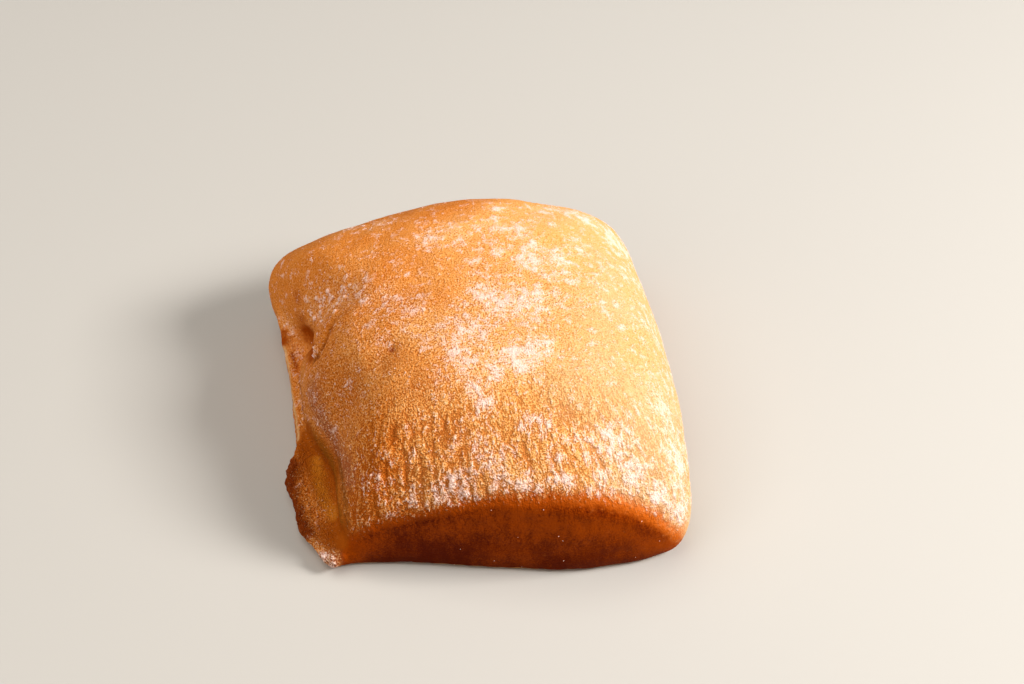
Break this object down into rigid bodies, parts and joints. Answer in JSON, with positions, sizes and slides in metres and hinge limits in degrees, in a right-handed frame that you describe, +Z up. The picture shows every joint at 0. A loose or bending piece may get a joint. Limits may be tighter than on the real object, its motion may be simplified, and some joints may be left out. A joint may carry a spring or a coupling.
{
  "type": "ciabatta roll",
  "caption": "Square flour-dusted ciabatta bread roll, uncut, with a domed crust, an upright smooth front face and a ragged pinched lip along its left side.",
  "frame": {"origin": "middle of the roll's footprint, on the surface it lies on", "axes": "+Z up out of the domed crust, -Y towards the upright front face, -X towards the pinched lip"},
  "size_m": [0.1058, 0.1142, 0.0465],
  "materials": {
    "crust": "matte baked crust with dry flour"
  },
  "bodies": {
    "root": {"roll": "crust"}
  },
  "joints": []
}
